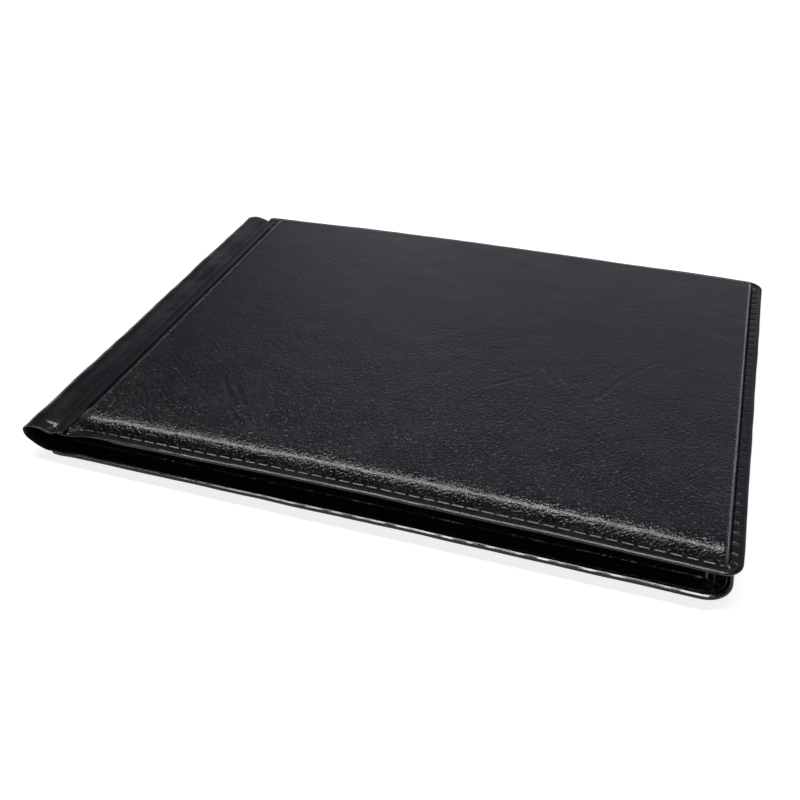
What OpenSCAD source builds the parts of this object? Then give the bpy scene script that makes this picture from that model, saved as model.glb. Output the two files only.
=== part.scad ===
// Padded coin album, closed and lying on its back cover.
// +X runs from the spine to the fore edge, +Y along the spine, +Z up.
// The origin is the centre of the base of the closed album. Millimetres.

/* [Album] */
// Closed length from the fold of the spine to the fore edge
album_length = 190; // [170:1:230]
// Height of the covers along the spine
album_height = 145; // [140:1:180]
// How far the front cover stands out past the back cover at the fore edge
front_shift = 1.4; // [0:0.1:2]

/* [Covers] */
// Length of one cover from its hinge weld to its fore edge
cover_length = 180; // [170:0.5:182]
// Radius of the two fore edge corners
corner_radius = 5; // [4:0.5:8]
// Thickness of the padded vinyl skin
skin_thickness = 0.7; // [0.5:0.1:0.8]
// Thickness of the vinyl lining
lining_thickness = 0.4; // [0.3:0.1:0.5]
// Width of the stitched weld flange on three sides
flange_width = 3.4; // [3:0.1:5]
// Width of the weld beside the spine
hinge_weld_width = 2.6; // [2.2:0.1:4]
// Height of the padded panel over its flange
panel_rise = 2.4; // [2:0.1:2.6]
// Height of the lined panel over its flange, inside the album
lining_step = 0.4; // [0.3:0.1:0.5]
// Thickness of the greyboard stiffener
board_thickness = 1.5; // [1.2:0.1:1.6]

/* [Spine] */
// Outside radius at the fold of the spine
spine_radius = 2.75; // [2.2:0.05:2.75]
// How far the spine's upper face lies below the front cover's flange
spine_drop = 1.4; // [1.2:0.1:1.8]
// How far the spine stops short of the covers at each end
spine_recess = 1; // [0.5:0.1:2]

/* [Leaves] */
// Thickness of one clear film
film_thickness = 0.2; // [0.15:0.01:0.22]
// Free gap between neighbouring leaves
leaf_gap = 0.25; // [0.2:0.01:0.4]
// Distance from the fold of the spine to the fore edge of the leaves
leaf_reach = 178; // [160:1:184]
// Height of the leaves along the spine
leaf_height = 129; // [110:1:132]
// Columns of coin pockets
pocket_columns = 4; // [3:1:5]
// Rows of coin pockets
pocket_rows = 3; // [2:1:4]
// Radius of the thumb notch below each pocket's mouth
thumb_radius = 7; // [5:0.5:9]
// Radius of the bead that the leaves are welded into
bead_radius = 1.3; // [1.2:0.1:1.4]

/* [Hidden] */

$fn = 64;
hull_fn = 32;

vinyl_black = [0.09, 0.09, 0.1];
lining_black = [0.06, 0.06, 0.065];
foam_grey = [0.55, 0.55, 0.56];
board_grey = [0.55, 0.5, 0.44];
film_clear = [0.85, 0.88, 0.9, 0.35];

// Heights within one cover, counted from its outer face inwards.
flange_lining_z = panel_rise + skin_thickness;
flange_top_z = flange_lining_z + lining_thickness;
inside_z = flange_top_z + lining_step;
board_z = flange_top_z - board_thickness;

// The leaves and the gaps between them set the closed album's thickness.
leaf_count = 8;
leaf_thickness = 2 * film_thickness;
album_thickness = 2 * inside_z + leaf_count * leaf_thickness + (leaf_count + 1) * leaf_gap;
middle_z = album_thickness / 2;

// The fold of the spine is the album's low X side.
fold_x = -album_length / 2;
front_start = fold_x + album_length - cover_length;
back_start = front_start - front_shift;

// The padded panel rounds over in two slopes between its foot and its flat.
shoulder_inset = 1.2;
shoulder_z = 0.5;
flat_inset = 4.6;
flat_radius = 1.5;
shoulder_radius = 2;
foot_radius = 2.5;
foam_clearance = 0.2;

// The board lies this far inside the panel's foot, and the lining laps its edge.
board_inset = 1.5;
board_radius = 2;
seam_overlap = 0.7;
hinge_radius = 1;

// The sheet of the spine slopes over this length into the hinge weld, and its halves meet at the fold.
slope_length = 2;
fold_gap = 0.1;
sheet_thickness = skin_thickness + lining_thickness;
spine_length = album_height - 2 * spine_recess;

// The leaves run flat under their pockets and draw in to the bead.
leaf_flat_x = 20;
leaf_radius = 4;
bead_x = 9.5;
bead_z = middle_z - 0.25;
bead_clearance = 0.35;
bead_pitch = 0.4;
web_thickness = 0.8;
foot_thickness = 0.3;
foot_reach = 3;

// The pocket film starts past the leaf's bend, and each mouth is a slot between two welds.
pocket_start_x = 22;
pocket_weld = 1.5;
mouth_height = 2.5;
column_pitch = (leaf_reach - pocket_start_x) / pocket_columns;
row_pitch = leaf_height / pocket_rows;

function leaf_z(i) = inside_z + leaf_gap * i + leaf_thickness * (i - 1);
function bead_offset(i) = bead_pitch * (i - (leaf_count + 1) / 2);
function bead_reach(i) = sqrt(pow(bead_radius + bead_clearance, 2) - pow(bead_offset(i), 2));

// What a corner of radius r at (u, v) loses; du and dv point into the plate.
module corner_cut(u, v, du, dv, r) {
    difference() {
        translate([du > 0 ? u - 1 : u - r, dv > 0 ? v - 1 : v - r]) square(r + 1);
        translate([u + du * r, v + dv * r]) circle(r = r);
    }
}

// A plate from u = a to u = b, w wide, with corners of radius ra at a and rb at b.
module plate(a, b, w, ra, rb) {
    difference() {
        translate([a, -w / 2]) square([b - a, w]);
        for (s = [-1, 1]) {
            corner_cut(a, s * w / 2, 1, -s, ra);
            corner_cut(b, s * w / 2, -1, -s, rb);
        }
    }
}

// A cover's outline pulled in by m past the flange and past the hinge weld.
module panel_outline(m, r) {
    plate(hinge_weld_width + m, cover_length - flange_width - m,
        album_height - 2 * (flange_width + m), r, r);
}

module cover_outline() {
    plate(0, cover_length, album_height, hinge_radius, corner_radius);
}

// One thin layer of the padded panel's form, for its hulls.
module panel_layer(z, t, m, r) {
    translate([0, 0, z]) linear_extrude(t) panel_outline(m, r, $fn = hull_fn);
}

// The padded panel's rounded form, from its outer face up to top, shrunk by g.
module panel_form(g, top) {
    hull() {
        panel_layer(g, 0.01, g + flat_inset, flat_radius);
        panel_layer(g + shoulder_z, 0.01, g + shoulder_inset, shoulder_radius);
        panel_layer(panel_rise, top - panel_rise, g, foot_radius);
    }
}

// The pieces of one cover, outer face down at z = 0, with the hinge weld's edge at x = 0.
module cover_skin() {
    color(vinyl_black) difference() {
        union() {
            translate([0, 0, panel_rise]) linear_extrude(skin_thickness) cover_outline();
            panel_form(0, flange_lining_z);
        }
        panel_form(skin_thickness, flange_lining_z + 1);
    }
}

module cover_foam_pad() {
    inset = skin_thickness + foam_clearance;
    color(foam_grey) hull() {
        panel_layer(skin_thickness, 0.01, inset + flat_inset, flat_radius);
        panel_layer(skin_thickness + shoulder_z, board_z - skin_thickness - shoulder_z,
            inset + shoulder_inset, shoulder_radius);
    }
}

module cover_board() {
    color(board_grey) translate([0, 0, board_z]) linear_extrude(board_thickness)
        panel_outline(board_inset, board_radius);
}

module cover_lining() {
    color(lining_black) {
        translate([0, 0, flange_lining_z]) linear_extrude(lining_thickness) difference() {
            cover_outline();
            panel_outline(board_inset, board_radius);
        }
        translate([0, 0, flange_top_z]) linear_extrude(lining_step)
            panel_outline(board_inset - seam_overlap, board_radius + seam_overlap);
    }
}

// Where the two covers lie in the closed album.
module in_back() {
    translate([back_start, 0, 0]) children();
}

module in_front() {
    translate([front_start, 0, album_thickness]) mirror([0, 0, 1]) children();
}

module back_skin() in_back() cover_skin();
module back_foam_pad() in_back() cover_foam_pad();
module back_board() in_back() cover_board();
module back_lining() in_back() cover_lining();
module front_skin() in_front() cover_skin();
module front_foam_pad() in_front() cover_foam_pad();
module front_board() in_front() cover_board();
module front_lining() in_front() cover_lining();

// Half of the folded spine, in x from the fold and z from the cover's outer face.
// The sheet t thick lies out inside the spine's outer surface, whose flat is at face.
module spine_section(face, out, t, reach) {
    r = spine_radius;
    split = middle_z - fold_gap / 2;
    intersection() {
        translate([r, face + r]) difference() {
            circle(r = r - out);
            circle(r = r - out - t);
        }
        square([r, face + r]);
    }
    translate([out, face + r]) square([t, split - face - r]);
    polygon([
        [r, face + out], [reach - slope_length, face + out], [reach, panel_rise + out],
        [reach, panel_rise + out + t], [reach - slope_length, face + out + t], [r, face + out + t]
    ]);
}

module spine_half(face, out, t, reach) {
    translate([fold_x, spine_length / 2, 0]) rotate([90, 0, 0])
        linear_extrude(spine_length) spine_section(face, out, t, reach);
}

module from_top() {
    translate([0, 0, album_thickness]) mirror([0, 0, 1]) children();
}

module spine_skin_lower() {
    color(vinyl_black) spine_half(panel_rise, 0, skin_thickness, back_start - fold_x);
}

module spine_lining_lower() {
    color(lining_black) spine_half(panel_rise, skin_thickness, lining_thickness, back_start - fold_x);
}

module spine_skin_upper() {
    color(vinyl_black) from_top()
        spine_half(panel_rise + spine_drop, 0, skin_thickness, front_start - fold_x);
}

module spine_lining_upper() {
    color(lining_black) from_top()
        spine_half(panel_rise + spine_drop, skin_thickness, lining_thickness, front_start - fold_x);
}

// The bead that the leaves' edges are welded into, on a web and foot that stand on the spine's lining.
module page_binding() {
    floor_z = panel_rise + sheet_thickness;
    color(lining_black) translate([fold_x + bead_x, 0, 0]) {
        translate([0, leaf_height / 2, bead_z]) rotate([90, 0, 0])
            cylinder(r = bead_radius, h = leaf_height);
        translate([-web_thickness / 2, -leaf_height / 2, floor_z])
            cube([web_thickness, leaf_height, bead_z - floor_z]);
        translate([-foot_reach, -leaf_height / 2, floor_z])
            cube([foot_reach + web_thickness / 2, leaf_height, foot_thickness]);
    }
}

module leaf_outline(start) {
    difference() {
        translate([start, -leaf_height / 2]) square([leaf_reach - start, leaf_height]);
        for (s = [-1, 1]) corner_cut(leaf_reach, s * leaf_height / 2, -1, -s, leaf_radius);
    }
}

// The backing film of leaf i, flat under the pockets and drawn in to the bead.
module leaf_backing(i) {
    flat_z = leaf_z(i);
    end_x = bead_x + bead_reach(i);
    end_z = bead_z + bead_offset(i) - film_thickness / 2;
    color(film_clear) translate([fold_x, 0, 0]) intersection() {
        translate([0, leaf_height / 2, 0]) rotate([90, 0, 0]) linear_extrude(leaf_height) polygon([
            [end_x, end_z], [leaf_flat_x, flat_z], [leaf_reach, flat_z],
            [leaf_reach, flat_z + film_thickness], [leaf_flat_x, flat_z + film_thickness],
            [end_x, end_z + film_thickness]
        ]);
        linear_extrude(album_thickness) leaf_outline(0);
    }
}

// One pocket's mouth, a slot with a thumb notch, from the pocket's corner.
module pocket_mouth() {
    translate([pocket_weld, row_pitch - pocket_weld - mouth_height])
        square([column_pitch - 2 * pocket_weld, mouth_height]);
    intersection() {
        translate([column_pitch / 2, row_pitch - pocket_weld - mouth_height]) circle(r = thumb_radius);
        square([column_pitch, row_pitch - pocket_weld]);
    }
}

// The pocket film of leaf i, which lies on the backing film.
module leaf_pockets(i) {
    color(film_clear) translate([fold_x, 0, leaf_z(i) + film_thickness])
        linear_extrude(film_thickness) difference() {
            leaf_outline(pocket_start_x);
            for (c = [0 : pocket_columns - 1], r = [0 : pocket_rows - 1])
                translate([pocket_start_x + c * column_pitch, -leaf_height / 2 + r * row_pitch])
                    pocket_mouth();
        }
}

back_skin();
back_foam_pad();
back_board();
back_lining();
front_skin();
front_foam_pad();
front_board();
front_lining();
spine_skin_lower();
spine_lining_lower();
spine_skin_upper();
spine_lining_upper();
page_binding();
for (i = [1 : leaf_count]) {
    leaf_backing(i);
    leaf_pockets(i);
}
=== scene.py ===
"""Padded black vinyl coin album, closed, on a plain pale floor.

Lengths in this file are millimetres in the row frame unless a name ends in _M.
Each cover has its own coordinates: u from its hinge weld to its fore edge, v along
the spine and w inwards from its outer face.
"""
import functools
import math

import bmesh
import bpy
import numpy as np
from mathutils import Matrix, Vector


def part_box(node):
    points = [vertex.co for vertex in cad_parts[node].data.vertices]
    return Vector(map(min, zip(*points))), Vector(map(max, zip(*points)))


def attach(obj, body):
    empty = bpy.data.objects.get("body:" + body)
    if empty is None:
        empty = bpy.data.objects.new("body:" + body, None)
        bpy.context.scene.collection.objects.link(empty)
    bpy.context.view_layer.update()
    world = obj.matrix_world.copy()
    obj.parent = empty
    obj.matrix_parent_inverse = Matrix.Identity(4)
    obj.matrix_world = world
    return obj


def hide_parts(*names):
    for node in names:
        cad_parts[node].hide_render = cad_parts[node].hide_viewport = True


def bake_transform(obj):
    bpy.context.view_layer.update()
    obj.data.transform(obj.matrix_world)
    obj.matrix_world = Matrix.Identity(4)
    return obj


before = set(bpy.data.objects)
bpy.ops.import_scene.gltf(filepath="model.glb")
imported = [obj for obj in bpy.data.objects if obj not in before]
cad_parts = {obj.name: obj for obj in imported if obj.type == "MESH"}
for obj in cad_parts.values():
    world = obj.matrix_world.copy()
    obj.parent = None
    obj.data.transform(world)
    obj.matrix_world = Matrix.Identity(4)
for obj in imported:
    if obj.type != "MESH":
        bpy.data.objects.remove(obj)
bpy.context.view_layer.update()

MM = 0.001


def box_mm(node):
    """The low and high corner of a CAD node's box."""
    low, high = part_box(node)
    return np.array(low) / MM, np.array(high) / MM


# ---------------- sizes from the frame
FOLD_X = box_mm("spine_skin_lower")[0][0]
ALBUM_T = box_mm("front_skin")[1][2]
HALF_HEIGHT = box_mm("front_skin")[1][1]
COVER_LENGTH = box_mm("front_skin")[1][0] - box_mm("front_skin")[0][0]
RISE = box_mm("spine_skin_lower")[0][2]
FLANGE_IN = box_mm("back_board")[1][2]
INSIDE = box_mm("back_lining")[1][2]
SPINE_HALF = box_mm("spine_skin_lower")[1][1]

# ---------------- sizes of the looks
FRONT_CORNER_R, BACK_CORNER_R = 5.0, 7.0
# How far in from its cover's sides a padded panel's foot lies, and how deep in the flange.
FRONT_FOOT, BACK_FOOT, FORE_FOOT, HINGE_FOOT = 3.15, 3.3, 3.25, 1.2
FOOT_SINK = 0.35
# How far the covers are bowed, about which place along them, and the front one's twist.
FRONT_BOW, BACK_BOW = 1.3, 0.4
BOW_CENTRE, BOW_HALF = 102.0, 88.0
TWIST = 0.5
# How far each cover has slipped along the spine, at its hinge and at its fore edge.
FRONT_SLIP = (0.6, 0.6)
BACK_SLIP = (-1.3, -1.9)
# And how far towards the fore edge.
FRONT_SHIFT, BACK_SHIFT = 0.15, 0.3


# ---------------- small maths
def smooth(a, b, x):
    """0 up to a and 1 from b on, with a smooth step between; a may be above b."""
    t = np.clip((x - a) / (b - a), 0, 1)
    return t * t * (3 - 2 * t)


def bell(x, centre, width):
    """1 at the centre, falling off to nothing about two widths away."""
    return np.exp(-(((x - centre) / width) ** 2))


def waves(x, y, size, seed, count=14):
    """Smooth seeded unevenness of about unit height, with features about size across."""
    rng = np.random.default_rng(seed)
    total = np.zeros(np.broadcast(x, y).shape)
    for _ in range(count):
        angle, phase = rng.uniform(0, 2 * math.pi, 2)
        k = 2 * math.pi / (size * rng.uniform(0.7, 1.6))
        total += np.sin(k * (x * math.cos(angle) + y * math.sin(angle)) + phase)
    return total / math.sqrt(count)


def bow_share(x):
    """0 at the middle of a cover and 1 near its ends, for x in the row frame."""
    return ((x - FOLD_X - BOW_CENTRE) / BOW_HALF) ** 2


def front_bow(x, y):
    """How far the front cover hangs down (negative) or rises at (x, y)."""
    twist = 1 - TWIST * smooth(-70, 70, y) * smooth(60, 190, x - FOLD_X)
    return -FRONT_BOW * bow_share(x) * twist


def back_bow(x):
    """How far the back cover's inside rises at x."""
    return BACK_BOW * (1 - np.minimum(bow_share(x), 1))


class Cover:
    """Where a cover lies, and which of the sizes are its own."""

    def __init__(self, side):
        self.side = side
        self.front = side == "front"
        self.body = side + "_cover"
        self.start = box_mm(side + "_skin")[0][0] + (FRONT_SHIFT if self.front else BACK_SHIFT)
        self.slips = FRONT_SLIP if self.front else BACK_SLIP
        self.corner = FRONT_CORNER_R if self.front else BACK_CORNER_R
        self.seed = 10 if self.front else 40

    def slip(self, u):
        """How far the cover has moved along the spine at u."""
        return self.slips[0] + (self.slips[1] - self.slips[0]) * u / COVER_LENGTH

    def place(self, u, v, w):
        """Row-frame points, with the cover's bow, slip and shift."""
        u, v, w = np.broadcast_arrays(
            np.asarray(u, float), np.asarray(v, float), np.asarray(w, float))
        x = self.start + u
        if self.front:
            z = ALBUM_T - w + front_bow(x, v)
        else:
            z = w + back_bow(x) * np.clip(w / RISE, 0, 1)
        return np.stack([x, v + self.slip(u), z], -1)


FRONT, BACK = Cover("front"), Cover("back")


# ---------------- meshes
def add_object(name, data):
    """A new object in the scene."""
    made = bpy.data.objects.new(name, data)
    bpy.context.scene.collection.objects.link(made)
    return made


def mesh_object(name, points, faces, material, uv=None, attributes=None):
    """A smooth-shaded mesh object with its faces turned outwards."""
    mesh = bpy.data.meshes.new(name)
    mesh.from_pydata((np.asarray(points, float) * MM).tolist(), [], faces)
    mesh.update()
    for key, values in (attributes or {}).items():
        layer = mesh.attributes.new(key, "FLOAT", "POINT")
        layer.data.foreach_set("value", np.asarray(values, np.float32).ravel())
    if uv is not None:
        layer = mesh.uv_layers.new(name="run")
        index = np.zeros(len(mesh.loops), np.int32)
        mesh.loops.foreach_get("vertex_index", index)
        layer.data.foreach_set("uv", np.asarray(uv, np.float32)[index].ravel())
    bm = bmesh.new()
    bm.from_mesh(mesh)
    bmesh.ops.recalc_face_normals(bm, faces=bm.faces)
    if sum(f.calc_area() * f.normal.dot(f.calc_center_median()) for f in bm.faces) < 0:
        bmesh.ops.reverse_faces(bm, faces=bm.faces)
    bm.to_mesh(mesh)
    bm.free()
    mesh.shade_smooth()
    mesh.materials.append(material)
    return add_object(name, mesh)


def grid_faces(n, m, first=0, wrap=False):
    """Quads over an n by m grid of points; wrap joins each row's end to its start."""
    faces = []
    for i in range(n - 1):
        for j in range(m if wrap else m - 1):
            k = (j + 1) % m
            a = first + i * m
            faces.append((a + j, a + k, a + m + k, a + m + j))
    return faces


def tube(name, rings, material, attributes=None):
    """A closed solid from rings of points, capped at both ends."""
    n, m, _ = rings.shape
    faces = grid_faces(n, m, wrap=True)
    faces.append(tuple(range(m)))
    faces.append(tuple(range((n - 1) * m, n * m)))
    return mesh_object(name, rings.reshape(-1, 3), faces, material, attributes=attributes)


def slab(name, outer, inner, material, uv=None):
    """A closed sheet between two n by m grids of points."""
    n, m, _ = outer.shape
    count = n * m
    faces = grid_faces(n, m) + grid_faces(n, m, first=count)
    border = (list(range(m)) + [i * m + m - 1 for i in range(1, n)]
              + [(n - 1) * m + j for j in range(m - 2, -1, -1)]
              + [i * m for i in range(n - 2, 0, -1)])
    for a, b in zip(border, border[1:] + border[:1]):
        faces.append((a, b, count + b, count + a))
    points = np.concatenate([outer.reshape(-1, 3), inner.reshape(-1, 3)])
    both = None if uv is None else np.concatenate([uv.reshape(-1, 2)] * 2)
    return mesh_object(name, points, faces, material, uv=both)


# ---------------- shader nodes
class Nodes:
    """Short ways to add nodes to a tree."""

    def __init__(self, tree):
        self.tree = tree

    def node(self, kind, links=None, **values):
        made = self.tree.nodes.new(kind)
        for key, value in values.items():
            setattr(made, key, value)
        for key, source in (links or {}).items():
            self.tree.links.new(source, made.inputs[key])
        return made

    def math(self, operation, *values):
        made = self.node("ShaderNodeMath", operation=operation)
        for i, value in enumerate(values):
            if isinstance(value, (int, float)):
                made.inputs[i].default_value = value
            else:
                self.tree.links.new(value, made.inputs[i])
        return made.outputs[0]

    def spread(self, value, low, high, to_low, to_high):
        """value from low..high mapped smoothly to to_low..to_high."""
        made = self.node("ShaderNodeMapRange", {"Value": value}, interpolation_type="SMOOTHSTEP")
        for key, number in zip(("From Min", "From Max", "To Min", "To Max"),
                               (low, high, to_low, to_high)):
            made.inputs[key].default_value = number
        return made.outputs["Result"]

    def split(self, vector):
        """The three coordinates of a vector."""
        return self.node("ShaderNodeSeparateXYZ", {"Vector": vector}).outputs


class Shader(Nodes):
    """A node material; mm is the place on the object, or along a sheet when it has a run."""

    def __init__(self, name, space="Object"):
        self.material = bpy.data.materials.new(name)
        self.material.use_nodes = True
        super().__init__(self.material.node_tree)
        self.bsdf = self.tree.nodes["Principled BSDF"]
        if space == "UV":
            source = self.node("ShaderNodeUVMap", uv_map="run").outputs[0]
        else:
            source = self.node("ShaderNodeTexCoord").outputs["Object"]
        self.mm = self.vector("SCALE", source, scale=1 / MM)

    def vector(self, operation, a, b=None, scale=None):
        made = self.node("ShaderNodeVectorMath", {0: a}, operation=operation)
        if b is not None:
            if isinstance(b, tuple):
                made.inputs[1].default_value = b
            else:
                self.tree.links.new(b, made.inputs[1])
        if scale is not None:
            made.inputs["Scale"].default_value = scale
        return made.outputs[0]

    def noise(self, scale, detail=2.0, roughness=0.5, where=None, distortion=0.0):
        """A noise with scale features per millimetre."""
        made = self.node("ShaderNodeTexNoise", {"Vector": where or self.mm})
        made.inputs["Scale"].default_value = scale
        made.inputs["Detail"].default_value = detail
        made.inputs["Roughness"].default_value = roughness
        made.inputs["Distortion"].default_value = distortion
        return made

    def mix(self, factor, a, b):
        """A colour between a and b; each is a colour or a socket."""
        made = self.node("ShaderNodeMix", {"Factor": factor}, data_type="RGBA")
        for key, value in (("A", a), ("B", b)):
            socket = [s for s in made.inputs if s.name == key and s.type == "RGBA"][0]
            if isinstance(value, tuple):
                socket.default_value = (*value, 1)
            else:
                self.tree.links.new(value, socket)
        return [s for s in made.outputs if s.type == "RGBA"][0]

    def bump(self, height, depth_mm, below=None):
        """A normal for height, which is depth_mm deep where it changes by 1."""
        made = self.node("ShaderNodeBump", {"Height": height})
        made.inputs["Strength"].default_value = 1.0
        made.inputs["Distance"].default_value = depth_mm * MM
        if below is not None:
            self.tree.links.new(below, made.inputs["Normal"])
        return made.outputs[0]

    def attribute(self, name):
        return self.node("ShaderNodeAttribute", attribute_name=name).outputs["Fac"]

    def connect(self, **sockets):
        """Link sources to the surface shader's sockets, in place of any linked before."""
        for key, source in sockets.items():
            self.tree.links.new(source, self.bsdf.inputs[key.replace("_", " ")])

    def fix(self, **values):
        """Set uniform values on the surface shader's sockets."""
        for key, value in values.items():
            self.bsdf.inputs[key.replace("_", " ")].default_value = value


# ---------------- materials
BLACK = (0.0052, 0.0048, 0.0068)
LINING_BLACK = (0.0045, 0.0043, 0.006)
CUT_GREY = (0.055, 0.042, 0.034)
# The foam's colours: painted shade in the pits of its cells, and the paler grey of their walls.
FOAM_PIT_SHADE, FOAM_WALL = (0.28, 0.28, 0.29), (0.56, 0.56, 0.58)
BOARD_DARK, BOARD_PALE = (0.26, 0.235, 0.2), (0.4, 0.37, 0.32)
BOARD_FLECK = (0.16, 0.14, 0.12)
FILM_TINT = (0.15, 0.155, 0.16, 1)
GRAIN_TURN = 22.0
GRAIN_SQUEEZE = (1.0, 0.66, 1.0)
# The covers' grain is worn down from front to back (y from and to) to this share.
GRAIN_WORN = (-75.0, 50.0)
GRAIN_LEFT = 0.22
CREASE_SIZE, CREASE_DEPTH = 26.0, 0.022
COAT, COAT_ROUGH = 0.25, 0.1
SPECULAR, RIM_SPECULAR, CUT_SPECULAR = 0.5, 0.38, 0.08
CUT_ROUGHER = 0.35
FOAM_CELLS_PER_MM, FOAM_DEPTH = 1.6, 0.25
BOARD_DEPTH = 0.08
# The film's least and most alpha, its roughness, and how a weld line adds to both.
FILM_ALPHA, FILM_ROUGH = (0.06, 0.1), 0.1
WELD_ALPHA, WELD_ROUGH, WELD_DEPTH = 0.3, 0.35, -0.12
WELD_INNER, WELD_OUTER = 0.7, 1.3
POCKET_COLUMNS, POCKET_ROWS = 4, 3


def grain_height(shader, cell_mm):
    """Pebbles and short wrinkles of embossed vinyl, about cell_mm across."""
    drift = shader.noise(0.5 / cell_mm, 2, 0.55)
    centred = shader.vector("SUBTRACT", drift.outputs["Color"], (0.5, 0.5, 0.5))
    pushed = shader.vector("ADD", shader.mm, shader.vector("SCALE", centred, scale=1.3 * cell_mm))
    turned = shader.node("ShaderNodeVectorRotate", {"Vector": pushed}, rotation_type="Z_AXIS")
    turned.inputs["Angle"].default_value = math.radians(GRAIN_TURN)
    along = shader.vector("MULTIPLY", turned.outputs[0], GRAIN_SQUEEZE)
    cells = shader.node("ShaderNodeTexVoronoi", {"Vector": along}, feature="SMOOTH_F1")
    cells.inputs["Scale"].default_value = 1 / cell_mm
    cells.inputs["Smoothness"].default_value = 0.4
    dome = shader.math("POWER", cells.outputs["Distance"], 2.0)
    stretched = shader.vector("MULTIPLY", along, (1.0, 0.45, 1.0))
    ripple = shader.noise(0.9 / cell_mm, 1, 0.5, where=stretched)
    return shader.math("SUBTRACT", shader.math("MULTIPLY", ripple.outputs["Fac"], 0.9), dome)


def crease_height(shader, size_mm):
    """Long fine creases, as pressed in when the padded cover was bent."""
    stretched = shader.vector("MULTIPLY", shader.mm, (0.35, 1.0, 1.0))
    field = shader.noise(1 / size_mm, 3, 0.55, where=stretched, distortion=0.6)
    away = shader.math("ABSOLUTE", shader.math("SUBTRACT", field.outputs["Fac"], 0.5))
    return shader.spread(away, 0.0, 0.018, 0.0, 1.0)


def vinyl_shader(name, colour, cell_mm, depth_mm, rough, space="Object", panel=False):
    """Embossed semi-gloss vinyl; a panel's grain wears down to the back and has creases."""
    s = Shader(name, space)
    patch = s.noise(0.035, 3, 0.6).outputs["Fac"]
    s.tint = s.mix(s.spread(patch, 0.3, 0.7, 0.0, 1.0),
                   tuple(0.85 * c for c in colour), tuple(1.2 * c for c in colour))
    height = grain_height(s, cell_mm)
    if panel:
        left = s.spread(s.split(s.mm)["Y"], *GRAIN_WORN, 1.0, GRAIN_LEFT)
        height = s.math("MULTIPLY", height, left)
    normal = s.bump(height, depth_mm)
    if panel:
        normal = s.bump(crease_height(s, CREASE_SIZE), CREASE_DEPTH, below=normal)
    worn = s.spread(s.noise(0.12, 4, 0.65).outputs["Fac"], 0.35, 0.7, -0.05, 0.07)
    s.roughness = s.math("ADD", worn, rough)
    s.connect(Base_Color=s.tint, Normal=normal, Roughness=s.roughness)
    s.fix(Coat_Weight=COAT, Coat_Roughness=COAT_ROUGH)
    return s


def vinyl(*settings, **more):
    """A plain vinyl material."""
    return vinyl_shader(*settings, **more).material


def panel_vinyl():
    """The covers' vinyl, without gloss where the panels' attribute "worn" is 1."""
    s = vinyl_shader("cover_vinyl_grain", BLACK, cell_mm=0.56, depth_mm=0.16, rough=0.24, panel=True)
    worn = s.attribute("worn")
    s.connect(Specular_IOR_Level=s.spread(worn, 0.0, 1.0, SPECULAR, 0.0),
              Coat_Weight=s.spread(worn, 0.0, 1.0, COAT, 0.0))
    return s.material


def rim_vinyl(name, gloss):
    """Welded vinyl: grey fibres where "cut" is 1, a coat with index gloss where "bead" is 1."""
    s = vinyl_shader(name, BLACK, cell_mm=0.5, depth_mm=0.03, rough=0.24)
    edge = s.attribute("cut")
    fibre = s.spread(s.noise(2.2, 3, 0.6).outputs["Fac"], 0.3, 0.7, 0.0, 1.0)
    tint = s.mix(edge, s.tint, s.mix(fibre, tuple(0.7 * c for c in CUT_GREY), CUT_GREY))
    roughness = s.math("ADD", s.roughness, s.math("MULTIPLY", edge, CUT_ROUGHER))
    coat = s.math("MULTIPLY", s.spread(s.attribute("bead"), 0.0, 1.0, 0.1, 1.0),
                  s.spread(edge, 0.0, 1.0, 1.0, 0.0))
    s.connect(Base_Color=tint, Roughness=roughness, Coat_Weight=coat,
              Specular_IOR_Level=s.spread(edge, 0.0, 1.0, RIM_SPECULAR, CUT_SPECULAR))
    s.fix(Coat_IOR=gloss)
    return s.material


def foam_material():
    """Open-cell grey foam, with painted shade darkening the pits of its cells."""
    s = Shader("foam_open_cell")
    cells = s.node("ShaderNodeTexVoronoi", {"Vector": s.mm})
    cells.inputs["Scale"].default_value = FOAM_CELLS_PER_MM
    # Painted shade: the foam's colour darkens towards the pit at each cell's middle.
    shade = s.mix(s.spread(cells.outputs["Distance"], 0.1, 0.7, 0.0, 1.0), FOAM_PIT_SHADE, FOAM_WALL)
    s.connect(Base_Color=shade, Normal=s.bump(cells.outputs["Distance"], FOAM_DEPTH))
    s.fix(Roughness=0.95, Sheen_Weight=0.2)
    return s.material


def board_material():
    """Pressed greyboard with fibres along its length and dark flecks."""
    s = Shader("greyboard_fibre")
    long_way = s.vector("MULTIPLY", s.mm, (0.25, 1.0, 1.0))
    fibres = s.noise(3.0, 4, 0.7, where=long_way).outputs["Fac"]
    fleck = s.noise(0.9, 2, 0.5).outputs["Fac"]
    shade = s.mix(s.spread(fibres, 0.3, 0.7, 0.0, 1.0), BOARD_DARK, BOARD_PALE)
    shade = s.mix(s.spread(fleck, 0.62, 0.74, 0.0, 0.6), shade, BOARD_FLECK)
    s.connect(Base_Color=shade, Normal=s.bump(fibres, BOARD_DEPTH))
    s.fix(Roughness=0.9)
    return s.material


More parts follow.
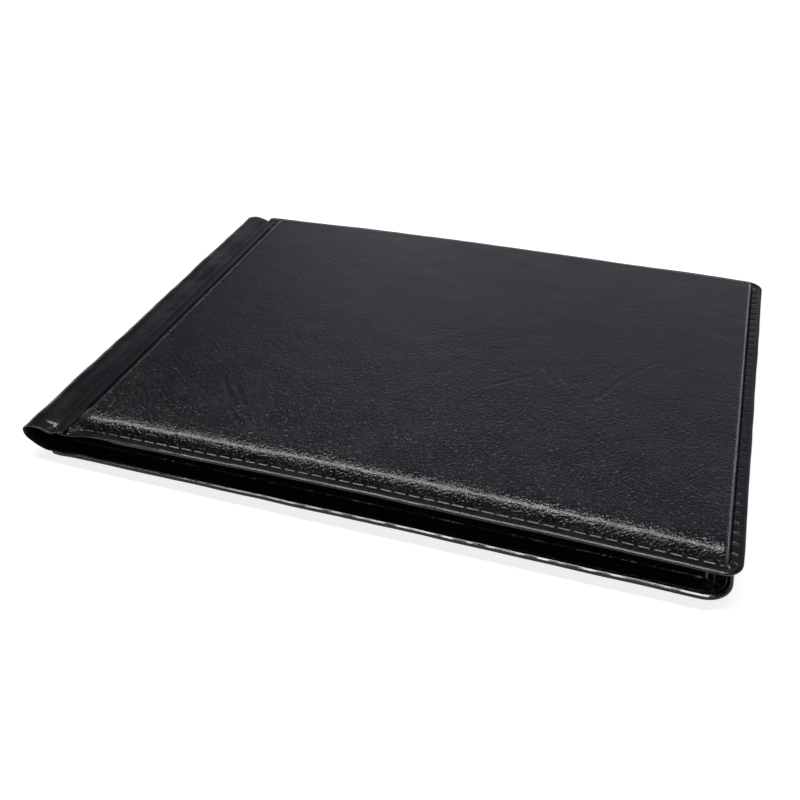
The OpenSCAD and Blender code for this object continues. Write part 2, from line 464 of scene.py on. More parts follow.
def film_material(name, welds):
    """Clear glossy film; welds adds the frosted lines pressed between the pockets."""
    s = Shader(name)
    haze = s.noise(0.05, 3, 0.5).outputs["Fac"]
    scratch = s.noise(0.8, 2, 0.6, where=s.vector("MULTIPLY", s.mm, (0.05, 1.0, 1.0)))
    marks = s.spread(scratch.outputs["Fac"], 0.62, 0.68, 0.0, 1.0)
    alpha = s.spread(haze, 0.3, 0.7, *FILM_ALPHA)
    roughness = s.math("ADD", s.math("MULTIPLY", marks, 0.12), FILM_ROUGH)
    if welds:
        line = weld_lines(s)
        alpha = s.math("ADD", alpha, s.math("MULTIPLY", line, WELD_ALPHA))
        roughness = s.math("ADD", roughness, s.math("MULTIPLY", line, WELD_ROUGH))
        s.connect(Normal=s.bump(line, WELD_DEPTH))
    s.connect(Alpha=alpha, Roughness=roughness)
    s.fix(Base_Color=FILM_TINT, IOR=1.45)
    return s.material


def weld_lines(s):
    """1 on the welds between the pockets and round them."""
    low, high = box_mm("leaf_1_pockets")
    place_mm = s.split(s.mm)
    near = []
    for axis, count in ((0, POCKET_COLUMNS), (1, POCKET_ROWS)):
        pitch = (high[axis] - low[axis]) / count
        place = s.math("DIVIDE", s.math("SUBTRACT", place_mm[axis], float(low[axis])), pitch)
        away = s.math("ABSOLUTE", s.math("SUBTRACT", place, s.math("ROUND", place)))
        near.append(s.math("MULTIPLY", away, pitch))
    return s.spread(s.math("MINIMUM", *near), WELD_INNER, WELD_OUTER, 1.0, 0.0)


COVER_VINYL = panel_vinyl()
SPINE_VINYL = vinyl("spine_vinyl_grain", BLACK, cell_mm=1.15, depth_mm=0.05, rough=0.28, space="UV")
FRONT_RIM_VINYL = rim_vinyl("front_weld_vinyl", gloss=1.5)
BACK_RIM_VINYL = rim_vinyl("back_weld_vinyl", gloss=2.0)
LINING_VINYL = vinyl("lining_vinyl_grain", LINING_BLACK, cell_mm=0.9, depth_mm=0.1, rough=0.22)
SPINE_LINING = vinyl("spine_lining_grain", LINING_BLACK, cell_mm=0.8, depth_mm=0.04, rough=0.36,
                     space="UV")
BINDING_VINYL = vinyl("binding_vinyl", LINING_BLACK, cell_mm=0.7, depth_mm=0.03, rough=0.4)
FOAM, BOARD = foam_material(), board_material()
BACKING_FILM = film_material("backing_film", False)
POCKET_FILM = film_material("pocket_film", True)


# ---------------- padded panels
# The mesh: its grid, the rings round it, how they crowd at the foot, where the grid begins.
PANEL_GRID, PANEL_RINGS, RING_CROWDING, INNER_INSET = 0.62, 24, 1.5, 10.0
FOOT_CORNER_R = 1.6
ROLL_POWER = 3.2
CROWN = 0.25
# Unevenness of the padding, and puckers on its front roll, as (height, size).
PAD_SWELL, PAD_DIMPLE, PUCKER = (0.035, 34), (0.015, 11), (0.035, 5.0)
# How much gloss the rolls at the hinge and at the fore edge have lost.
HINGE_WEAR, FORE_WEAR = 0.94, 0.4


def gentle(t):
    """t bent so that roll_profile(gentle(t)) levels out at the foot as well."""
    t = np.clip(t, 0, 1)
    return (t * t * (3 - 2 * t)) ** (1 / ROLL_POWER)


def roll_profile(t):
    """Height share of a rolled edge: 0 at its foot (t = 1) and 1 where it is flat (t = 0)."""
    return 1 - np.clip(t, 0, 1) ** ROLL_POWER


# Widths over which the padding rolls down to the weld: hinge, fore, front and back side.
ROLLS = {"hinge": 6.5, "fore": 1.9, "front": 8.5, "back": 1.6}
# Creases bent into the front panel: depth, then the points each runs through, in (u, v).
CREASES = [
    (0.16, [(33.5, -36.4), (37.6, -42.7), (41.2, -47.2), (45.8, -51.9), (53.7, -57.5), (57.2, -60.8)]),
    (0.15, [(39.8, -40.7), (43.1, -45.1), (46.2, -49.3), (48.4, -51.7)]),
    (0.15, [(42.2, -49.8), (45.0, -54.0), (48.3, -57.3), (54.9, -62.4), (58.8, -64.7)]),
    (0.07, [(36.8, -44.9), (38.2, -49.0), (40.9, -52.8)]),
    (0.08, [(122.9, 1.5), (126.4, -6.3), (129.9, -14.1), (133.6, -18.9)]),
    (0.08, [(117.8, 1.3), (123.3, -9.2), (127.9, -15.7)]),
    (0.08, [(134.2, -19.6), (138.2, -16.4), (142.4, -7.0), (147.0, 0.9), (152.8, 8.7)]),
    (0.07, [(106.4, -21.9), (114.0, -15.1), (120.2, -10.2)]),
    (0.07, [(121.4, -29.8), (126.5, -34.5)]),
]
CREASE_FADE, CREASE_END = 3.0, 0.25
CREASE_WIDTH, LIP_WIDTH, LIP_AT, LIP_HEIGHT = 0.5, 0.6, 1.2, 0.3


def crease_field(u, v):
    """Depths of the creases at (u, v), with a faint raised lip on both sides of each."""
    total = np.zeros(u.shape)
    for depth, points in CREASES:
        p = np.array(points)
        lengths = np.linalg.norm(np.diff(p, axis=0), axis=1)
        before = np.concatenate([[0], np.cumsum(lengths)])
        nearest = np.full(u.shape, 99.0)
        run = np.zeros(u.shape)
        for k in range(len(p) - 1):
            step = (p[k + 1] - p[k]) / lengths[k]
            along = np.clip((u - p[k, 0]) * step[0] + (v - p[k, 1]) * step[1], 0, lengths[k])
            away = np.hypot(u - p[k, 0] - step[0] * along, v - p[k, 1] - step[1] * along)
            closer = away < nearest
            nearest = np.where(closer, away, nearest)
            run = np.where(closer, before[k] + along, run)
        fade = smooth(0, CREASE_FADE, run) * smooth(0, CREASE_FADE, before[-1] - run)
        fade = CREASE_END + (1 - CREASE_END) * fade
        lips = LIP_HEIGHT * bell(nearest, LIP_AT, LIP_WIDTH)
        total += depth * fade * (lips - bell(nearest, 0, CREASE_WIDTH))
    return total


def panel_depth(cover, u, v, low, high):
    """w of the padded panel's surface at (u, v), for a foot from low to high."""
    tu = np.maximum(gentle(1 - (u - low[0]) / ROLLS["hinge"]), 1 - (high[0] - u) / ROLLS["fore"])
    tv = np.maximum(1 - (v - low[1]) / ROLLS["front"], 1 - (high[1] - v) / ROLLS["back"])
    t = (np.clip(tu, 0, 1) ** 3 + np.clip(tv, 0, 1) ** 3) ** (1 / 3)
    foot = RISE + FOOT_SINK
    height = foot * roll_profile(t)
    inner = 1 - np.clip(t, 0, 1) ** 2
    pad = inner * (PAD_SWELL[0] * waves(u, v, PAD_SWELL[1], cover.seed)
                   + PAD_DIMPLE[0] * waves(u, v, PAD_DIMPLE[1], cover.seed + 1))
    if cover.front:
        middle = (1 - ((u - 90) / 90) ** 2) * (1 - (v / HALF_HEIGHT) ** 2)
        pad = pad + inner * (CROWN * (middle - 1) + crease_field(u, v))
        pucker = PUCKER[0] * waves(u, v, PUCKER[1], cover.seed + 2)
        return foot - height - pad - pucker * smooth(0.25, 0.7, t) * smooth(1.0, 0.8, t)
    return foot - height - np.minimum(pad, 0) * smooth(0.0, 0.6, t)


def worn_share(u, v, low, high):
    """1 on the rolls at the hinge, the fore edge and the back, where the gloss is rubbed off."""
    hinge = smooth(0.0, 0.35, 1 - (u - low[0]) / ROLLS["hinge"])
    fore = smooth(0.0, 0.5, 1 - (high[0] - u) / ROLLS["fore"])
    back = smooth(0.0, 0.5, 1 - (high[1] - v) / ROLLS["back"])
    front = smooth(0.0, 0.5, 1 - (v - low[1]) / ROLLS["front"])
    return np.maximum.reduce([HINGE_WEAR * hinge, FORE_WEAR * fore, back]) * (1 - front)


def ring_outline(low, high, radius, inner_u, inner_v):
    """The foot's outline with one point for each border point of the inner grid."""
    corners = [(low[0], low[1]), (high[0], low[1]), (high[0], high[1]), (low[0], high[1])]
    counts = [len(inner_u) - 1, len(inner_v) - 1] * 2
    points = []
    for k, count in enumerate(counts):
        a, b = np.array(corners[k], float), np.array(corners[(k + 1) % 4], float)
        run = (b - a) / np.linalg.norm(b - a)
        inward = np.array([-run[1], run[0]])
        length = np.linalg.norm(b - a)
        quarter = radius * math.pi / 4
        total = length - 2 * radius + 2 * quarter
        for s in np.arange(count) / count * total:
            if s < quarter or s > total - quarter:
                end, side, angle = ((a, 1, math.pi / 4 - s / radius) if s < quarter
                                    else (b, -1, (s - total + quarter) / radius))
                points.append(end + side * run * radius * (1 - math.sin(angle))
                              + inward * radius * (1 - math.cos(angle)))
            else:
                points.append(a + run * (radius + s - quarter))
    return np.array(points)


def panel_faces(border, nu, nv):
    """The rings, the seam to the grid inside them, the grid, and the flat underside."""
    n, first, last = len(border), PANEL_RINGS * len(border), (PANEL_RINGS - 1) * len(border)
    at = [first + i * (nv + 1) + j for i, j in border]
    seam = []
    for j in range(n):
        k = (j + 1) % n
        seam.append((last + j, last + k, at[k], at[j]))
    return (grid_faces(PANEL_RINGS, n, wrap=True) + seam
            + grid_faces(nu + 1, nv + 1, first=first) + [tuple(range(n))])


def padded_panel(cover):
    """The foam-filled outer face of a cover: a crowned closed form with rolled sides."""
    low = (HINGE_FOOT, -HALF_HEIGHT + FRONT_FOOT)
    high = (COVER_LENGTH - FORE_FOOT, HALF_HEIGHT - BACK_FOOT)
    nu, nv = (round((b - a - 2 * INNER_INSET) / PANEL_GRID) for a, b in zip(low, high))
    us = np.linspace(low[0] + INNER_INSET, high[0] - INNER_INSET, nu + 1)
    vs = np.linspace(low[1] + INNER_INSET, high[1] - INNER_INSET, nv + 1)
    border = ([(i, 0) for i in range(nu)] + [(nu, j) for j in range(nv)]
              + [(i, nv) for i in range(nu, 0, -1)] + [(0, j) for j in range(nv, 0, -1)])
    inner = np.array([(us[i], vs[j]) for i, j in border])
    outline = ring_outline(low, high, FOOT_CORNER_R, us, vs)
    share = ((np.arange(PANEL_RINGS) / PANEL_RINGS) ** RING_CROWDING)[:, None, None]
    rings = outline[None] * (1 - share) + inner[None] * share
    flat = np.stack(np.meshgrid(us, vs, indexing="ij"), -1).reshape(-1, 2)
    u, v = np.concatenate([rings.reshape(-1, 2), flat]).T
    points = cover.place(u, v, panel_depth(cover, u, v, low, high))
    piece = mesh_object(cover.side + "_panel", points, panel_faces(border, nu, nv), COVER_VINYL,
                        attributes={"worn": worn_share(u, v, low, high)})
    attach(piece, cover.body)
    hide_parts(cover.side + "_skin")
    return piece


# ---------------- stitched weld rims
# Insets from a cover's edge at which the rim has points.
RIM_INSETS = [4.9, 4.4, 3.9, 3.5, 3.25, 3.05, 2.95, 2.85, 2.75, 2.6, 2.45, 2.3, 2.1, 1.95, 1.85,
              1.75, 1.65, 1.5, 1.3, 1.1, 0.9, 0.75, 0.6, 0.46, 0.34, 0.23, 0.14, 0.07, 0.02]
RIM_REACH = RIM_INSETS[0]
STITCH_PITCH = 3.7
RIM_STEPS_PER_STITCH = 12
# Near the spine the front flange is one layer of this thickness, and two from LAP_START on.
SINGLE_LAYER = 0.6
LAP_START = 17.5
# Share of the flange outside its middle, and insets over which its two faces round off.
RIM_ROUNDING = {"front": (0.36, 0.14, 1.4), "back": (0.5, 0.25, 0.12)}
RIM_END_R = 1.3
# The bead's outer flank: its slope, and the insets below which it slopes.
FRONT_BEAD_SLOPE, BACK_BEAD_SLOPE = 0.26, 0.354
OUTER_FLANK, INNER_FLANK = 0.65, 0.75
# Heights of the bead, dashes and ticks, and how far the face is pressed down behind them.
OUTER_BEAD, OUTER_TICK, OUTER_PRESS, OUTER_ROOT = 0.08, 0.22, 0.1, 0.35
INNER_BEAD, INNER_DASH, INNER_TICK, INNER_ROOT = 0.14, 0.2, 0.1, 0.12
BEAD_SHINE = {"front": 0.12, "back": 0.5}
# Where the free edge of a rim sags or lifts: run length, width, height towards the outside.
EDGE_WAVES = {
    "front": [(4.0, 4.0, -0.7), (13.0, 6.0, 0.45)],
    "back": [(3.0, 3.0, 0.3)],
}
# Droop of the back cover's rim along its front side, at the spine and at the fore edge.
DROOP_START, DROOP_END = -0.25, 0.1
# Droop of the front cover's rim along its front and along its back side.
FRONT_DROOP, BACK_DROOP = 0.35, -0.4


def rim_path(step, radius):
    """(u, v), outward directions and run lengths along a cover's three welded edges."""
    straight = COVER_LENGTH - radius
    arc = math.pi / 2 * radius
    fore = 2 * (HALF_HEIGHT - radius)
    total = 2 * straight + 2 * arc + fore
    s = np.linspace(0, total, round(total / step) + 1)
    marks = np.cumsum([straight, arc, fore, arc, straight])
    spots, outs = [], []
    for x in s:
        if x <= marks[0]:
            spot, out = (x, -HALF_HEIGHT), (0, -1)
        elif x <= marks[1]:
            a = (x - marks[0]) / radius
            out = (math.sin(a), -math.cos(a))
            spot = (straight + radius * out[0], -HALF_HEIGHT + radius + radius * out[1])
        elif x <= marks[2]:
            spot, out = (COVER_LENGTH, -HALF_HEIGHT + radius + x - marks[1]), (1, 0)
        elif x <= marks[3]:
            a = (x - marks[2]) / radius
            out = (math.cos(a), math.sin(a))
            spot = (straight + radius * out[0], HALF_HEIGHT - radius + radius * out[1])
        else:
            spot, out = (straight - (x - marks[3]), HALF_HEIGHT), (0, 1)
        spots.append(spot)
        outs.append(out)
    return np.array(spots), np.array(outs), s, total


def stitch_marks(s, total):
    """(share of a dash, share of a notch) at run length s of a stitched edge."""
    count = round(total / STITCH_PITCH)
    place = s / total * count
    away = np.abs(place - np.round(place)) * total / count
    dash = smooth(0.18, 0.34, away)
    notch = 1 - smooth(0.12, 0.32, away)
    return dash, notch


def bead_slope(s, total, slope, seed):
    """Slope of the bead's outer flank at run length s: flatter near the spine, and uneven."""
    ends = smooth(5, 85, np.minimum(s, total - s))
    return slope * (0.6 + 0.4 * ends) + 0.025 * waves(s, 0 * s, 5.0, seed)


def outer_relief(d, s, total):
    """How far the rim's outer face stands out at inset d: a bead, a row of dashes and ticks."""
    dash, notch = stitch_marks(s, total)
    back_start = total - COVER_LENGTH
    fore = (smooth(COVER_LENGTH - 6, COVER_LENGTH + 2, s)
            * smooth(back_start + 6, back_start - 2, s))
    flank = bead_slope(s, total, FRONT_BEAD_SLOPE, 3) * np.clip(OUTER_FLANK - d, 0, 1)
    bead = OUTER_BEAD * smooth(1.3, 0.9, d) - flank
    row = FRONT_BEAD_SLOPE * np.clip(d - 2.45, 0, 0.4) * smooth(3.0, 2.85, d) * dash * (1 - fore)
    reach = 2.1 - 0.7 * fore
    ticks = -OUTER_TICK * notch * smooth(reach - 0.2, reach + 0.1, d) * smooth(3.2, 2.9, d)
    pressed = -OUTER_PRESS * smooth(0.9, 1.4, d) - OUTER_ROOT * smooth(2.95, 3.3, d)
    return bead + row + ticks + pressed


def inner_relief(d, s, total):
    """The same for the face inside the album."""
    dash, notch = stitch_marks(s, total)
    flank = bead_slope(s, total, BACK_BEAD_SLOPE, 4) * np.clip(INNER_FLANK - d, 0, 1)
    bead = INNER_BEAD * smooth(1.45, 1.05, d) - flank
    row = INNER_DASH * bell(d, 1.8, 0.13) * dash
    ticks = -INNER_TICK * notch * smooth(2.0, 2.2, d) * smooth(3.9, 3.6, d)
    pressed = -INNER_ROOT * smooth(3.4, 3.9, d)
    return bead + row + ticks + pressed


def rim_sag(cover, s, d):
    """How far the free edge of a rim hangs down or lifts: nothing at its root."""
    sag = sum(height * bell(s, at, width) for at, width, height in EDGE_WAVES[cover.side])
    if cover.front:
        to_back = smooth(COVER_LENGTH + 40, COVER_LENGTH + 130, s)
        sag = sag - FRONT_DROOP - (BACK_DROOP - FRONT_DROOP) * to_back
    else:
        droop = DROOP_START + (DROOP_END - DROOP_START) * smooth(-30, 175, s)
        sag = sag + droop * smooth(COVER_LENGTH + 110, COVER_LENGTH + 10, s)
    sag = sag + 0.12 * waves(s, 0 * s, 42, cover.seed + 5)
    return sag[:, None] * (1 - d / RIM_REACH) ** 1.4


def rim_faces(cover, s, total, d):
    """w of the rim's outer and inner face at run lengths s and insets d."""
    thick = np.full(s.shape, FLANGE_IN - RISE)
    if cover.front:
        thick = SINGLE_LAYER + (thick - SINGLE_LAYER) * smooth(LAP_START, LAP_START + 1, s)
    share, out_reach, in_reach = RIM_ROUNDING[cover.side]
    middle = RISE + thick[:, None] * share
    out_half, in_half = (
        part * thick[:, None] * np.sqrt(1 - np.clip(1 - d / reach, 0, 1) ** 2)
        for part, reach in ((share, out_reach), (1 - share, in_reach)))
    sag = rim_sag(cover, s, d)
    return (middle - out_half - outer_relief(d, s[:, None], total) - sag,
            middle + in_half + inner_relief(d, s[:, None], total) - sag)


def rim_inset(cover, s, total, d):
    """The insets d, a little uneven and drawn in to a round corner at both ends."""
    ends = np.minimum(s, total - s)[:, None]
    into = np.clip(RIM_END_R - ends, 0, RIM_END_R)
    pull = RIM_END_R - np.sqrt(np.maximum(RIM_END_R ** 2 - into ** 2, 0))
    uneven = 0.06 * waves(s, 0 * s, 17, cover.seed + 6)[:, None] * (1 - d / RIM_REACH)
    return pull + d * (1 - pull / RIM_REACH) + uneven


def weld_rim(cover, material):
    """The welded flange: skin and lining pressed together, with a bead and mock stitches."""
    spots, outs, s, total = rim_path(STITCH_PITCH / RIM_STEPS_PER_STITCH, cover.corner)
    d = np.array(RIM_INSETS)[None]
    inset = rim_inset(cover, s, total, d)
    u = spots[:, 0, None] - outs[:, 0, None] * inset
    v = spots[:, 1, None] - outs[:, 1, None] * inset
    out_w, in_w = rim_faces(cover, s, total, d)
    rings = np.concatenate([cover.place(u, v, out_w), cover.place(u, v, in_w)[:, ::-1]], 1)
    cut = np.tile((0.0 if cover.front else 1.0) * (1 - smooth(0.03, 0.12, d)), (len(s), 1))
    shine = smooth(25, 130, s) * smooth(total - 25, total - 130, s)
    bead = smooth(1.2, 0.85, d) * (0.15 + 0.85 * shine[:, None]) * BEAD_SHINE[cover.side]
    both = {key: np.concatenate([face, face[:, ::-1]], 1)
            for key, face in (("cut", cut), ("bead", bead))}
    piece = tube(cover.side + "_weld_rim", rings, material, attributes=both)
    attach(piece, cover.body)
    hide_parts(cover.side + "_skin", cover.side + "_lining")
    return piece


# ---------------- linings inside the covers
# Where a lining begins at the hinge, how far in its weld reaches, and its thickness.
LINING_START, LINING_WELD, LINING_T = 0.6, 4.3, 0.35
# How far it lies under the rim's inner face, and its puckers and sag, as (height, size).
LINING_UNDER, LINING_PUCKER, LINING_SAG = 0.12, (0.08, 1.7), (0.03, 40)
# How far in from the cover's edge it steps up onto the board.
LINING_STEP_FROM, LINING_STEP_TO = 5.8, 6.5


def fine_at_ends(low, high, fine, coarse):
    """Places from low to high, finely spaced over the first and last 4 mm."""
    near = np.arange(low, low + 4, fine)
    far = high - (near - low)[::-1]
    count = round((far[0] - near[-1]) / coarse)
    return np.concatenate([near, np.linspace(near[-1], far[0], count + 1)[1:-1], far])


def inner_lining(cover, board):
    """The vinyl stretched over the board inside a cover, from weld to weld."""
    end, half = COVER_LENGTH - LINING_WELD, HALF_HEIGHT - LINING_WELD
    u, v = np.meshgrid(fine_at_ends(LINING_START, end, 0.25, 0.8),
                       fine_at_ends(-half, half, 0.14, 1.0), indexing="ij")
    side = np.minimum(COVER_LENGTH - u, HALF_HEIGHT - np.abs(v))
    step = smooth(LINING_STEP_FROM, LINING_STEP_TO, side) * smooth(2.4, 4.2, u)
    flange = FLANGE_IN - LINING_UNDER
    pucker = LINING_PUCKER[0] * waves(u, 0.7 * v, LINING_PUCKER[1], cover.seed + 8)
    pucker = pucker * smooth(4.4, 5.6, side) * smooth(9, 7, side)
    sag = LINING_SAG[0] * waves(u, v, LINING_SAG[1], cover.seed + 9) * step
    face = flange + (INSIDE - flange) * step + pucker - np.abs(sag)
    top = cover.place(u, v, face)
    under = cover.place(u, v, face - LINING_T)
    piece = slab(cover.side + "_inner_lining", top, under, LINING_VINYL)
    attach(piece, cover.body)
    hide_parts(cover.side + "_lining")
    return piece


# ---------------- boards and foam
EDGE_ROOM = 1.3
# Widths of the strips that let a flat CAD piece bend with its cover.
PAD_STRIP, LEAF_STRIP = 9.0, 9.75
FOAM_EDGE_R = 0.25


def warped_copy(name, node, shift, spacing, material):
    """A copy of a CAD node's mesh cut into strips and moved by shift(x, y, z)."""
    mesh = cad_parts[node].data.copy()
    bm = bmesh.new()
    bm.from_mesh(mesh)
    bmesh.ops.remove_doubles(bm, verts=bm.verts, dist=1e-7)
    low, high = box_mm(node)
    for axis in (0, 1):
        normal = Vector((1, 0, 0)) if axis == 0 else Vector((0, 1, 0))
        for at in np.arange(low[axis] + spacing, high[axis], spacing):
            geometry = bm.verts[:] + bm.edges[:] + bm.faces[:]
            bmesh.ops.bisect_plane(bm, geom=geometry, plane_co=normal * at * MM, plane_no=normal,
                                   dist=1e-7)
    for vert in bm.verts:
        x, y, z = (c / MM for c in vert.co)
        vert.co = Vector(shift(x, y, z)) * MM
    mesh.clear_geometry()
    bm.to_mesh(mesh)
    bm.free()
    mesh.materials.clear()
    mesh.materials.append(material)
    piece = add_object(name, mesh)
    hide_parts(node)
    return piece


def drawn_in(cover, x, y):
    """(x, y) moved towards the cover's middle, to leave room for the rolled padding."""
    middle = cover.start + COVER_LENGTH / 2
    return (middle + (x - middle) * (1 - 2 * EDGE_ROOM / COVER_LENGTH),
            cover.slip(x - cover.start) + y * (1 - EDGE_ROOM / HALF_HEIGHT))


def greyboard(cover):
    """The stiff board of a cover, warped with it."""
    def shift(x, y, z):
        new_x, new_y = drawn_in(cover, x, y)
        return new_x, new_y, z + (float(front_bow(x, y)) if cover.front else 0.0)
    piece = warped_copy(cover.side + "_greyboard", cover.side + "_board", shift, PAD_STRIP, BOARD)
    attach(piece, cover.body)
    return piece


def foam_sheet(cover):
    """The foam between a cover's skin and its board, with its edges rounded over."""
    def shift(x, y, z):
        depth = float(waves(np.array(x), np.array(y), 25, cover.seed + 20))
        new_x, new_y = drawn_in(cover, x, y)
        if cover.front:
            return new_x, new_y, z + float(front_bow(x, y)) - 0.15 - 0.04 * depth
        return new_x, new_y, z + 0.05 + 0.03 * abs(depth)
    node = cover.side + "_foam_pad"
    piece = warped_copy(cover.side + "_foam_sheet", node, shift, PAD_STRIP, FOAM)
    bevel = piece.modifiers.new("rounded", "BEVEL")
    bevel.width = FOAM_EDGE_R * MM
    bevel.segments = 2
    bevel.limit_method = "ANGLE"
    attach(piece, cover.body)
    return piece


# ---------------- spine
# The outside of the spine's vinyl, weld to weld, as (distance from the fold, height).
SPINE_LINE = [
    (10.7, 2.9), (9.4, 2.55), (8.2, 2.3), (6.9, 2.35), (5.4, 2.75), (3.9, 3.4), (2.4, 4.25),
    (1.2, 5.15), (0.4, 6.2), (0.1, 7.3), (0.35, 8.4), (1.4, 9.2), (3.0, 9.65), (5.0, 9.7),
    (6.8, 9.4), (8.3, 8.95), (9.3, 8.72), (10.0, 8.9), (10.7, 9.3), (11.6, 9.55), (12.6, 9.55),
    (13.4, 9.5),
]
SPINE_ROWS, SPINE_COLUMNS = 196, 90
# Thickness of the spine's vinyl, and how far from it its lining's two faces lie.
SPINE_SHEET, SPINE_GAP, SPINE_LINER = 0.5, 0.03, 0.16
# Share of the thickness at the sheet's ends.
THIN_END = 0.45
# How far the sheet stands out at each end, and further at the front; the lining is shorter.
SPINE_FREE_EDGE, SPINE_OUT, LINER_SHORT = 0.6, 0.4, 0.6
# The front end has SPINE_FINE_ROWS rows over its first SPINE_FINE.
SPINE_FINE, SPINE_FINE_ROWS = 15.0, 51
# The raised wrinkles that meet at one point of the spine: direction, length and height.
STAR_Y, STAR_FROM_END = 68.5, 4.7
STAR_WRINKLES = [(20, 4.5, 0.32), (75, 6.0, 0.28), (130, 5.0, 0.28), (185, 5.0, 0.32),
                 (250, 4.0, 0.26), (310, 4.0, 0.26)]


def rounded_line(points, count):
    """count evenly spaced points on a smooth curve through the given ones."""
    p = np.array(points, float)
    p = np.vstack([2 * p[0] - p[1], p, 2 * p[-1] - p[-2]])
    fine = []
    for i in range(1, len(p) - 2):
        t = np.linspace(0, 1, 24, endpoint=False)[:, None]
        a, b, c, e = p[i - 1], p[i], p[i + 1], p[i + 2]
        fine.append(0.5 * (2 * b + (c - a) * t + (2 * a - 5 * b + 4 * c - e) * t ** 2
                           + (3 * b - a - 3 * c + e) * t ** 3))
    fine = np.vstack(fine + [p[-2:-1]])
    run = np.concatenate([[0], np.cumsum(np.linalg.norm(np.diff(fine, axis=0), axis=1))])
    at = np.linspace(0, run[-1], count)
    return np.stack([np.interp(at, run, fine[:, k]) for k in range(2)], 1), at


def star_wrinkles(along_sheet, y):
    """Height of the wrinkles at distances from the star's place along the sheet and at y."""
    star = np.zeros(y.shape)
    for angle, length, height in STAR_WRINKLES:
        a = math.radians(angle)
        along = along_sheet * math.cos(a) + (y + STAR_Y) * math.sin(a)
        across = -along_sheet * math.sin(a) + (y + STAR_Y) * math.cos(a)
        star += height * bell(across, 0, 0.4) * smooth(-0.3, 0.7, along) * smooth(length, 0, along)
    return star


def spine_surface(inset, half):
    """Points and (run, y) of the spine's sheet, inset from its outer face."""
    rows, columns = SPINE_ROWS, SPINE_COLUMNS
    line, run = rounded_line(SPINE_LINE, columns)
    fine = np.linspace(-half - SPINE_OUT, -half + SPINE_FINE, SPINE_FINE_ROWS)
    y = np.concatenate([fine[:-1], np.linspace(fine[-1], half, rows - len(fine) + 1)])
    tangent = np.gradient(line, axis=0)
    normal = np.stack([-tangent[:, 1], tangent[:, 0]], 1)
    normal /= np.linalg.norm(normal, axis=1)[:, None]
    yy, rr = np.meshgrid(y, run, indexing="ij")
    free = smooth(2.5, 6.0, rr) * smooth(2.5, 6.0, run[-1] - rr)
    dent = (0.13 * waves(yy, rr, 19, 71) + 0.03 * waves(yy, 2.5 * rr, 8, 72)) * free
    thinned = THIN_END + (1 - THIN_END) * smooth(0.0, 2.0, np.minimum(half - yy, yy - y[0]))
    thinned = thinned * (0.2 + 0.8 * smooth(0.0, 2.0, run[-1] - rr))
    push = dent - star_wrinkles(rr - run[-1] + STAR_FROM_END, yy) + inset * thinned
    x = FOLD_X + line[:, 0] - normal[:, 0] * push
    z = line[:, 1] - normal[:, 1] * push
    points = np.stack([x, yy, z], -1)
    return points, np.stack([rr, yy + half], -1) * MM


def bend_over_fold(piece):
    """Bake a sheet's placement into its mesh."""
    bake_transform(piece)


def spine_pieces():
    """The folded outer vinyl and its lining."""
    half = SPINE_HALF + SPINE_FREE_EDGE
    run = rounded_line(SPINE_LINE, SPINE_COLUMNS)[1][-1] * MM
    outer, uv = spine_surface(0.0, half)
    inner, _ = spine_surface(SPINE_SHEET, half)
    cover = slab("spine_vinyl", outer, inner, SPINE_VINYL, uv)
    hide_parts("spine_skin_lower", "spine_skin_upper")
    bend_over_fold(cover)
    outer, uv = spine_surface(SPINE_SHEET + SPINE_GAP, half - LINER_SHORT)
    inner, _ = spine_surface(SPINE_SHEET + SPINE_LINER, half - LINER_SHORT)
    liner = slab("spine_inner_vinyl", outer, inner, SPINE_LINING, uv)
    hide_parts("spine_lining_lower", "spine_lining_upper")
    bend_over_fold(liner)


# ---------------- leaves
LEAVES = 8
# Distances from the fold between which a leaf goes over to its covers' bow.
BEAD_EDGE, LEAF_FLAT_X = 11.0, 20.0


def leaf_pieces(k):
    """Leaf k's backing film and pocket film, bowed with the covers they lie between."""
    share = k / (LEAVES + 1)

    def shift(x, y, z):
        bow = float(back_bow(x)) * (1 - share) + float(front_bow(x, y)) * share
        return x, y, z + bow * float(smooth(BEAD_EDGE, LEAF_FLAT_X, x - FOLD_X))

    for part, material in (("backing", BACKING_FILM), ("pockets", POCKET_FILM)):
        node = f"leaf_{k}_{part}"
        piece = warped_copy(f"leaf_{k}_{part}_film", node, shift, LEAF_STRIP, material)
        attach(piece, f"leaf_{k}")


# ---------------- the object
for side in (BACK, FRONT):
    padded_panel(side)
    foam_sheet(side)
back_rim = weld_rim(BACK, BACK_RIM_VINYL)
front_rim = weld_rim(FRONT, FRONT_RIM_VINYL)
inner_lining(BACK, greyboard(BACK))
inner_lining(FRONT, greyboard(FRONT))
spine_pieces()
for leaf in range(1, LEAVES + 1):
    leaf_pieces(leaf)
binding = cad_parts["page_binding"]
binding.data.materials.clear()
binding.data.materials.append(BINDING_VINYL)

# ---------------- floor, light and camera
FLOOR_HALF_M = 4.0
FLOOR_GREY, FLOOR_PALE, FLOOR_GLOW = (0.52, 0.52, 0.52), (0.55, 0.55, 0.55), 0.8
SOFTBOX_W = 12.0
SOFTBOX_PLACE_M = (-0.32, 0.2, 1.28)
SOFTBOX_SIZE_M = (1.5, 0.23)
ROOM_COLOUR = (0.9, 0.87, 1.0, 1)
# The room's light is the product of these: a direction's coordinate, from and to, and the
# factor's value at either.
ROOM = [
    ("Z", 0.02, 0.36, 3.2, 1.0),     # bright round the horizon
    ("Z", 0.52, 0.8, 0.48, 0.06),    # dim higher up
    ("Y", -0.5, 0.1, 0.2, 1.0),      # dim towards the reader
    ("X", -0.6, -0.24, 0.1, 0.9),    # dim at the left
    ("X", -0.36, -0.12, 1.0, 0.8),   # and a little less bright at the right
]
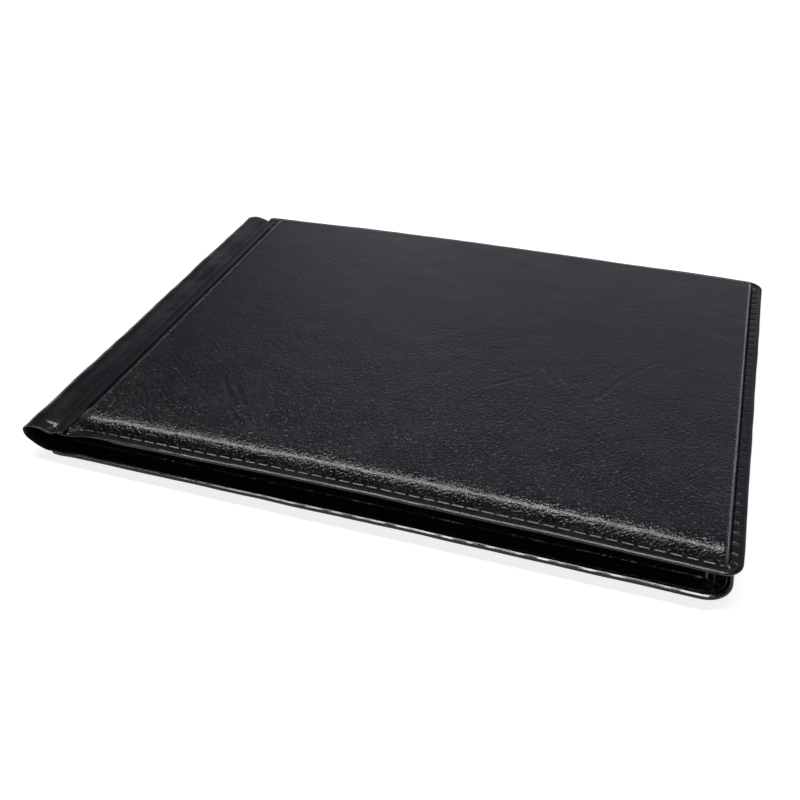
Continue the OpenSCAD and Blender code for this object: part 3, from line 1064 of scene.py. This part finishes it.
# A white card in front of the album, low down, which lights the steps inside the gap.
CARD = [("Y", -0.72, -0.8, 0.0, 1.5), ("Z", 0.3, 0.4, 0.0, 1.0)]


def floor():
    """A plain pale floor that glows a little, so that it stays white in the picture."""
    s = Shader("pale_floor")
    fine = s.noise(0.4, 3, 0.5).outputs["Fac"]
    s.connect(Base_Color=s.mix(fine, FLOOR_GREY, FLOOR_PALE))
    s.fix(Roughness=0.9, Specular_IOR_Level=0.1, Emission_Color=(1, 1, 1, 1),
          Emission_Strength=FLOOR_GLOW)
    mesh = bpy.data.meshes.new("floor")
    h = FLOOR_HALF_M
    mesh.from_pydata([(-h, -h, 0), (h, -h, 0), (h, h, 0), (-h, h, 0)], [], [(0, 1, 2, 3)])
    mesh.materials.append(s.material)
    plane = add_object("floor", mesh)


def softbox():
    """One long narrow light nearly overhead, which faces the album's middle line."""
    light = bpy.data.lights.new("softbox", "AREA")
    light.shape = "RECTANGLE"
    light.size, light.size_y = SOFTBOX_SIZE_M
    light.energy = SOFTBOX_W
    thing = add_object("softbox", light)
    thing.location = SOFTBOX_PLACE_M
    down = Vector((SOFTBOX_PLACE_M[0], 0, 0)) - Vector(SOFTBOX_PLACE_M)
    thing.rotation_mode = "QUATERNION"
    thing.rotation_quaternion = down.to_track_quat("-Z", "Y")


def surroundings():
    """A pale room: bright round the horizon, dimmer higher up and towards the front."""
    world = bpy.data.worlds.new("studio")
    bpy.context.scene.world = world
    world.use_nodes = True
    w = Nodes(world.node_tree)
    split = w.split(w.node("ShaderNodeTexCoord").outputs["Generated"])
    glow, card = (
        functools.reduce(lambda a, b: w.math("MULTIPLY", a, b),
                         [w.spread(split[axis], *ramp) for axis, *ramp in factors])
        for factors in (ROOM, CARD))
    background = w.tree.nodes["Background"]
    w.tree.links.new(w.math("ADD", glow, card), background.inputs["Strength"])
    background.inputs["Color"].default_value = ROOM_COLOUR


# The photograph's viewing angle.
VIEW_AZIMUTH, VIEW_ELEVATION, VIEW_ROLL = 19.10, 34.53, -0.58
VIEW_TARGET = (-8.31, -17.32, 0.0)
VIEW_DISTANCE = 298.7
LENS, SENSOR, SHIFT_X = 44.90, 36.0, 0.0193


def camera():
    """The camera, rolled a little as in the photograph."""
    a, e, r = (math.radians(x) for x in (VIEW_AZIMUTH, VIEW_ELEVATION, VIEW_ROLL))
    back = Vector((math.sin(a) * math.cos(e), -math.cos(a) * math.cos(e), math.sin(e)))
    right = Vector((math.cos(a), math.sin(a), 0))
    up = back.cross(right)
    turned_right = right * math.cos(r) + up * math.sin(r)
    turned_up = up * math.cos(r) - right * math.sin(r)
    data = bpy.data.cameras.new("camera")
    data.lens, data.sensor_width = LENS, SENSOR
    data.shift_x = SHIFT_X
    data.clip_start = 0.01
    thing = add_object("camera", data)
    turn = Matrix((turned_right, turned_up, back)).transposed().to_4x4()
    place = (Vector(VIEW_TARGET) + back * VIEW_DISTANCE) * MM
    thing.matrix_world = Matrix.Translation(place) @ turn
    bpy.context.scene.camera = thing


floor()
softbox()
surroundings()
camera()
bpy.context.scene.view_settings.view_transform = "Standard"
